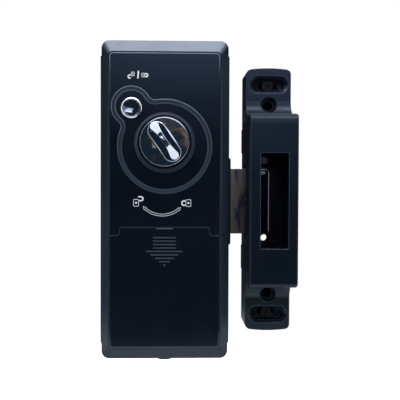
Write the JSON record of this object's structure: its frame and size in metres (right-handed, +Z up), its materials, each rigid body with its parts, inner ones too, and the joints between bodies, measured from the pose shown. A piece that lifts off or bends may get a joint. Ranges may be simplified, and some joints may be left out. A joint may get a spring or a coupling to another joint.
{
  "type": "smart door lock",
  "caption": "Rim-mounted electronic door lock: tall bevelled case with thumb turn, push button and sliding battery cover, its square dead bolt thrown into a matching strike box.",
  "frame": {"origin": "middle of the mounting plate's back face, on the door's face", "axes": "+X towards the strike, +Y into the door, +Z up; the lock stands forward of the door, towards -Y"},
  "size_m": [0.1243, 0.053, 0.2023],
  "materials": {
    "plate_steel": "zinc-plated sheet steel, fine grain",
    "case_plastic": "black moulded plastic, fine texture",
    "cover_plastic": "satin blue-black moulded plastic",
    "screw_steel": "bright zinc",
    "screw_black": "black oxide",
    "black_metal": "black powder coat",
    "strike_casting": "satin black powder coat",
    "bolt_steel": "dark nickel over steel, slightly mottled",
    "gear_metal": "sintered steel",
    "chrome_plate": "polished chrome",
    "collar_satin": "satin dark grey",
    "mirror_cap": "dark mirror",
    "bush_brass": "plain brass",
    "gear_plastic": "natural acetal",
    "motor_can": "nickel-plated can",
    "switch_black": "black moulded plastic",
    "board_green": "green solder mask",
    "socket_white": "white nylon",
    "contact_nickel": "nickel-plated spring steel",
    "cell_jacket": "plain cell jacket",
    "magnet_nickel": "dark nickel"
  },
  "bodies": {
    "lock_case": {"mounting_plate": "plate_steel", "rear_case": "case_plastic", "front_cover": "cover_plastic", "cover_screws": "screw_steel", "body_screws": "screw_steel", "bolt_faceplate": "black_metal", "faceplate_screws": "screw_black", "bolt_chassis": "plate_steel", "chassis_screws": "screw_steel", "position_switches": "switch_black", "turn_collar": "collar_satin", "rear_spindle_bush": "bush_brass", "front_spindle_bush": "bush_brass", "gear_plate": "plate_steel", "gear_plate_screws": "screw_steel", "gear_axle": "screw_steel", "drive_motor": "motor_can", "motor_end_cap": "switch_black", "motor_bracket": "plate_steel", "bracket_screws": "screw_steel", "control_board": "board_green", "board_screws": "screw_steel", "board_chips": "switch_black", "buzzer": "switch_black", "cable_socket": "socket_white", "button_bezel": "chrome_plate", "button_switch": "switch_black", "battery_tray": "case_plastic", "battery_contacts": "contact_nickel", "battery_cells": "cell_jacket", "battery_springs": "contact_nickel", "strike_base": "black_metal", "strike_magnet": "magnet_nickel", "strike_screws": "screw_black"},
    "thumb_turn": {"turn_knob": "chrome_plate", "turn_spindle": "plate_steel", "hub_gear": "gear_metal", "spindle_clip": "screw_steel"},
    "bolt": {"deadbolt": "bolt_steel", "bolt_rack": "plate_steel", "rack_screws": "screw_steel"},
    "idler": {"compound_gear": "gear_plastic"},
    "motor_rotor": {"motor_shaft": "screw_steel", "motor_pinion": "bush_brass"},
    "push_button": {"button_cap": "mirror_cap", "switch_plunger": "socket_white"},
    "battery_door": {"battery_cover": "cover_plastic"},
    "strike_slider": {"strike_housing": "strike_casting", "strike_liner": "black_metal"}
  },
  "joints": [
    {"name": "thumb_turn_spin", "type": "hinge", "parent": "lock_case", "child": "thumb_turn", "pos_m": [0, -0.03, 0.0356], "axis": [0, 1, 0], "range_deg": [0, 68]},
    {"name": "bolt_slide", "type": "slide", "parent": "lock_case", "child": "bolt", "axis": [1, 0, 0], "range_m": [-0.02492, 0]},
    {"name": "idler_spin", "type": "hinge", "parent": "lock_case", "child": "idler", "pos_m": [0.01521, -0.026, 0.05791], "axis": [0, 1, 0], "range_deg": [-238, 0]},
    {"name": "motor_spin", "type": "hinge", "parent": "lock_case", "child": "motor_rotor", "pos_m": [0.01174, -0.026, 0.0776], "axis": [0, 1, 0], "range_deg": [0, 714]},
    {"name": "button_press", "type": "slide", "parent": "lock_case", "child": "push_button", "axis": [0, 1, 0], "range_m": [0, 0.0012], "stiffness_N_per_m": 400, "springref_m": -0.0005},
    {"name": "battery_cover_slide", "type": "slide", "parent": "lock_case", "child": "battery_door", "axis": [0, 0, -1], "range_m": [0, 0.084]},
    {"name": "strike_adjust", "type": "slide", "parent": "lock_case", "child": "strike_slider", "axis": [1, 0, 0], "range_m": [-0.004, 0.004]}
  ],
  "couplings": [
    {"joint": "thumb_turn_spin", "follows": "bolt_slide", "rad_per_m": -47.619},
    {"joint": "idler_spin", "follows": "bolt_slide", "rad_per_m": 166.67},
    {"joint": "motor_spin", "follows": "bolt_slide", "rad_per_m": -500}
  ]
}
